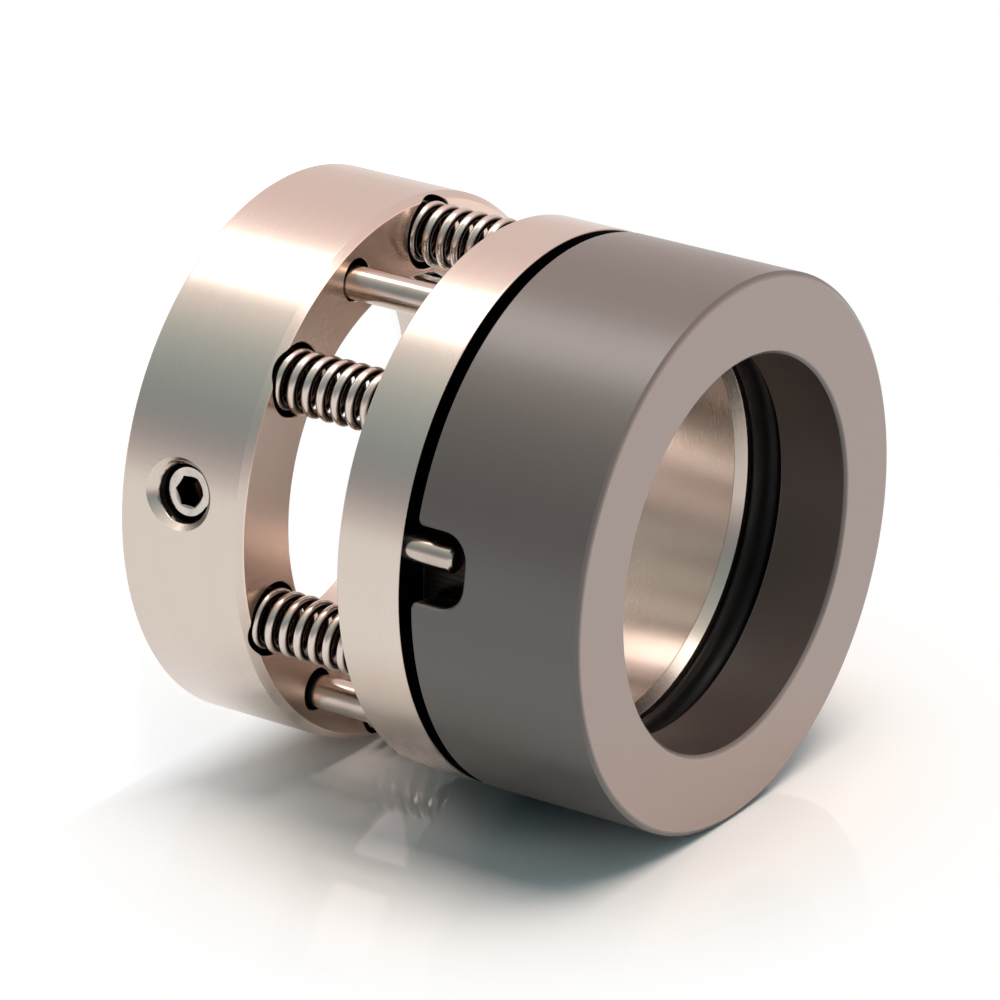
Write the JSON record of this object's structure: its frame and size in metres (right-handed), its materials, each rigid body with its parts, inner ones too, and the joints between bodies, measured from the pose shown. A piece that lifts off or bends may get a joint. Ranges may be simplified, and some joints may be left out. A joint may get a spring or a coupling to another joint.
{
  "type": "mechanical seal rotating head",
  "caption": "Rotating head of a multi-spring mechanical shaft seal: set-screwed drive collar, coil springs, sliding thrust ring, O-ring and pin-driven carbide face ring.",
  "frame": {"origin": "on the shaft's axis at the drive collar's flat back face", "axes": "+Z along the shaft's axis towards the sealing face; +X through the first set screw"},
  "size_m": [0.078, 0.078, 0.0745],
  "materials": {
    "turned_steel": "fine turned stainless steel",
    "spring_wire": "drawn bright wire",
    "pin_steel": "ground dowel steel",
    "screw_steel": "bright turned screw",
    "carbide": "ground carbide, lapped in front",
    "elastomer": "moulded, satin"
  },
  "bodies": {
    "collar": {"drive_collar": "turned_steel", "spring_1": "spring_wire", "spring_2": "spring_wire", "spring_3": "spring_wire", "spring_4": "spring_wire", "spring_5": "spring_wire", "spring_6": "spring_wire"},
    "thrust": {"thrust_ring": "turned_steel", "o_ring": "elastomer", "drive_pin_1": "pin_steel", "drive_pin_2": "pin_steel", "drive_pin_3": "pin_steel", "face_pin_1": "pin_steel", "face_pin_2": "pin_steel", "face_pin_3": "pin_steel"},
    "face": {"face_ring": "carbide"},
    "screw_1": {"set_screw_1": "screw_steel"},
    "screw_2": {"set_screw_2": "screw_steel"},
    "screw_3": {"set_screw_3": "screw_steel"}
  },
  "joints": [
    {"name": "compress", "type": "slide", "parent": "collar", "child": "thrust", "axis": [0, 0, 1], "range_m": [-0.006, 0], "stiffness_N_per_m": 74000, "springref_m": 0.0002, "deforming": ["spring_1", "spring_2", "spring_3", "spring_4", "spring_5", "spring_6"]},
    {"name": "face_play", "type": "hinge", "parent": "thrust", "child": "face", "pos_m": [0, 0, 0.0615], "axis": [0, 0, 1], "range_deg": [-7.1, 2.9]},
    {"name": "set_screw_1_travel", "type": "slide", "parent": "collar", "child": "screw_1", "axis": [1, 0, 0], "range_m": [-0.001, 0.0025]},
    {"name": "set_screw_2_travel", "type": "slide", "parent": "collar", "child": "screw_2", "axis": [-0.5, 0.866, 0], "range_m": [-0.001, 0.0025]},
    {"name": "set_screw_3_travel", "type": "slide", "parent": "collar", "child": "screw_3", "axis": [-0.5, -0.866, 0], "range_m": [-0.001, 0.0025]}
  ]
}
